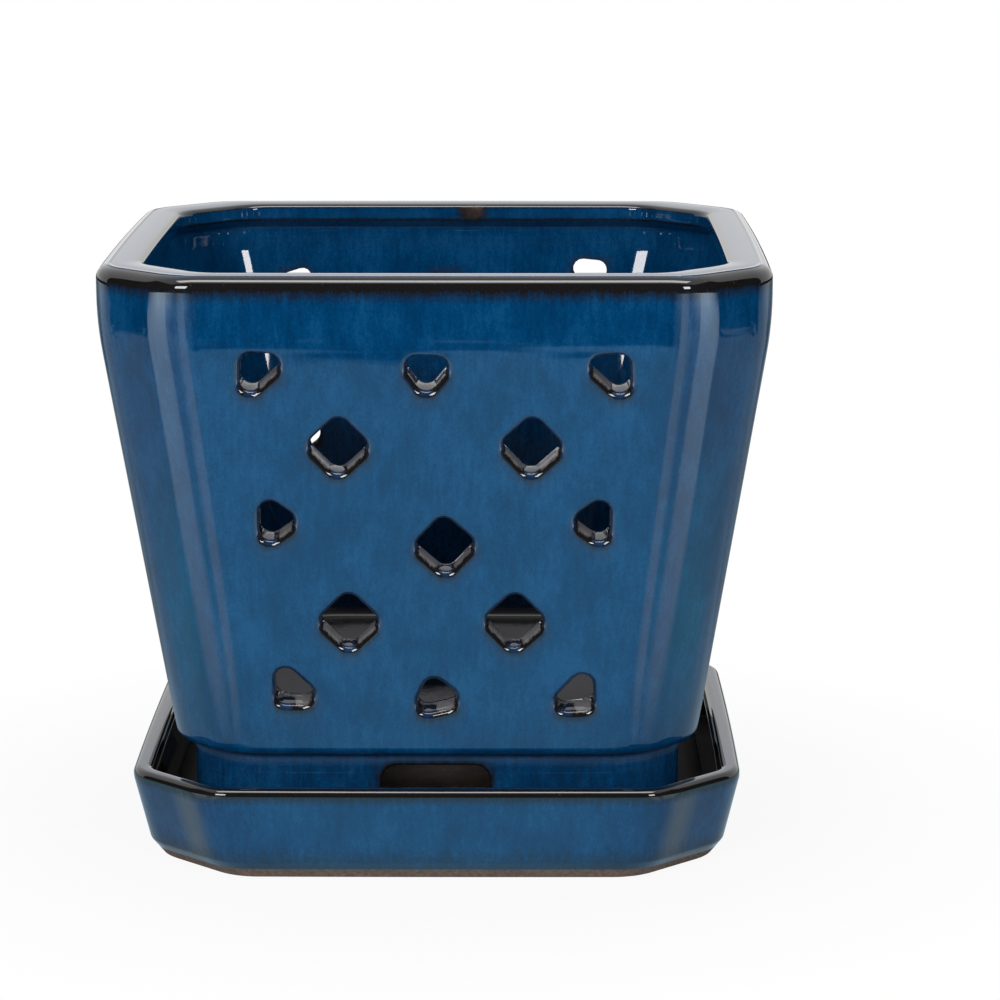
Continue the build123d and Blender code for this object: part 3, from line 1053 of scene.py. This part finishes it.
dark_board, tree = stage_sheet("dark_board", square(floor_reach, 0.3 * mm))
only_in_gloss(dark_board)
place = add_node(tree, "ShaderNodeTexCoord").outputs["Object"]
x, y, _ = add_node(tree, "ShaderNodeSeparateXYZ", {0: place}).outputs
sideways = math_node(tree, "MULTIPLY", math_node(tree, "ABSOLUTE", x), 0.7)
away = math_node(tree, "MAXIMUM", sideways, math_node(tree, "ABSOLUTE", y))
ripple = add_node(tree, "ShaderNodeTexNoise", {"Vector": place, "Scale": 14.0, "Detail": 1.0}).outputs[0]
away = math_node(tree, "MULTIPLY_ADD", ripple, 0.4, math_node(tree, "SUBTRACT", away, 0.2))
clear = add_node(tree, "ShaderNodeBsdfTransparent").outputs[0]
surface = blended(tree, faded(tree, away, dark_start, dark_full), clear, glowing(tree, board_shade))
add_node(tree, "ShaderNodeOutputMaterial", {"Surface": surface})

room_plan = [(-room_half, room_back), (-room_half, room_front)]
room_plan += [(room_half, room_front), (room_half, room_back)]
dark_corners = []
for (x0, y0), (x1, y1) in zip(room_plan, room_plan[1:]):
    dark_corners += [(x0, y0, 0), (x1, y1, 0), (x1, y1, room_height), (x0, y0, room_height)]
dark_room, tree = stage_sheet("dark_room", dark_corners)
only_in_gloss(dark_room)
add_node(tree, "ShaderNodeOutputMaterial", {"Surface": glowing(tree, board_shade)})

board_corners = []
board_shares = []
board_glows = []
for right, back in product((-1, 1), (-1, 1)):
    for bearing, flat, spread, near_glow, far_glow in boards:
        edges = ((-spread, 0), (-flat, 1), (flat, 1), (spread, 0))
        steps = ((board_start, 0, near_glow), (board_near, 1, near_glow), (board_end, 1, far_glow))
        for (near, far), (first, last) in product(zip(steps, steps[1:]), zip(edges, edges[1:])):
            corners = ((near, first), (far, first), (far, last), (near, last))
            for (reach, fade, glow), (turn, share) in corners:
                angle = radians(bearing + turn)
                across, along = board_apex + reach * sin(angle), board_apex + reach * cos(angle)
                board_corners.append((right * across, back * along, 0.6 * mm))
                board_shares.append(share * fade)
                board_glows.append(glow if back < 0 else glow * back_glow)
bright_board, tree = stage_sheet("bright_board", board_corners)
only_in_gloss(bright_board)
store(bright_board.data, "share", board_shares)
store(bright_board.data, "glow", board_glows)
share = add_node(tree, "ShaderNodeAttribute", attribute_name="share").outputs["Fac"]
strength = add_node(tree, "ShaderNodeAttribute", attribute_name="glow").outputs["Fac"]
clear = add_node(tree, "ShaderNodeBsdfTransparent").outputs[0]
surface = blended(tree, share, clear, glowing(tree, board_tint, strength))
add_node(tree, "ShaderNodeOutputMaterial", {"Surface": surface})


def softbox(name, place, aim, size, power):
    lamp = bpy.data.lights.new(name, "AREA")
    lamp.shape = "RECTANGLE"
    lamp.size, lamp.size_y = size
    lamp.energy = power
    box = new_object(name, lamp)
    box.location = place
    box.rotation_euler = (Vector(aim) - Vector(place)).to_track_quat("-Z", "Y").to_euler()
    box.visible_camera = False
    return box


def around(bearing, distance, height):
    """A place that far from the pot, to the right of the camera's side by that many degrees."""
    return (distance * sin(radians(bearing)), -distance * cos(radians(bearing)), height)


softbox("left_softbox", around(-25, 1.2, 0.56), pot_middle, size=(0.4, 0.35), power=7.4)
softbox("right_softbox", around(28, 1.25, 0.56), pot_middle, size=(0.25, 0.35), power=4.8)
overhead = softbox("overhead", (0, -0.3, 1.1), (0, -0.3, 0), size=(0.9, 0.35), power=9.0)
overhead.visible_diffuse = False
back_softbox = softbox("back_softbox", around(180, 1.3, 0.5), pot_middle, size=(0.9, 0.6), power=6.0)
back_softbox.visible_glossy = False

world = bpy.data.worlds.new("studio")
bpy.context.scene.world = world
world.use_nodes = True
sky = world.node_tree
sky.nodes.clear()
strength = add_node(sky, "ShaderNodeMix", {0: seen_directly(sky), 2: 0.3, 3: 1.0}).outputs[0]
background = add_node(sky, "ShaderNodeBackground", {"Color": (1, 1, 1, 1), "Strength": strength}).outputs[0]
add_node(sky, "ShaderNodeOutputWorld", {"Surface": background})

camera = bpy.data.cameras.new("camera")
camera.lens = 132.9
camera.sensor_width = 36
eye = new_object("camera", camera)
eye.location = (0.0224, -1.030, 0.2892)
eye.rotation_euler = (radians(90 - 11.02), 0, radians(0.3))
bpy.context.scene.camera = eye
bpy.context.scene.view_settings.view_transform = "Standard"
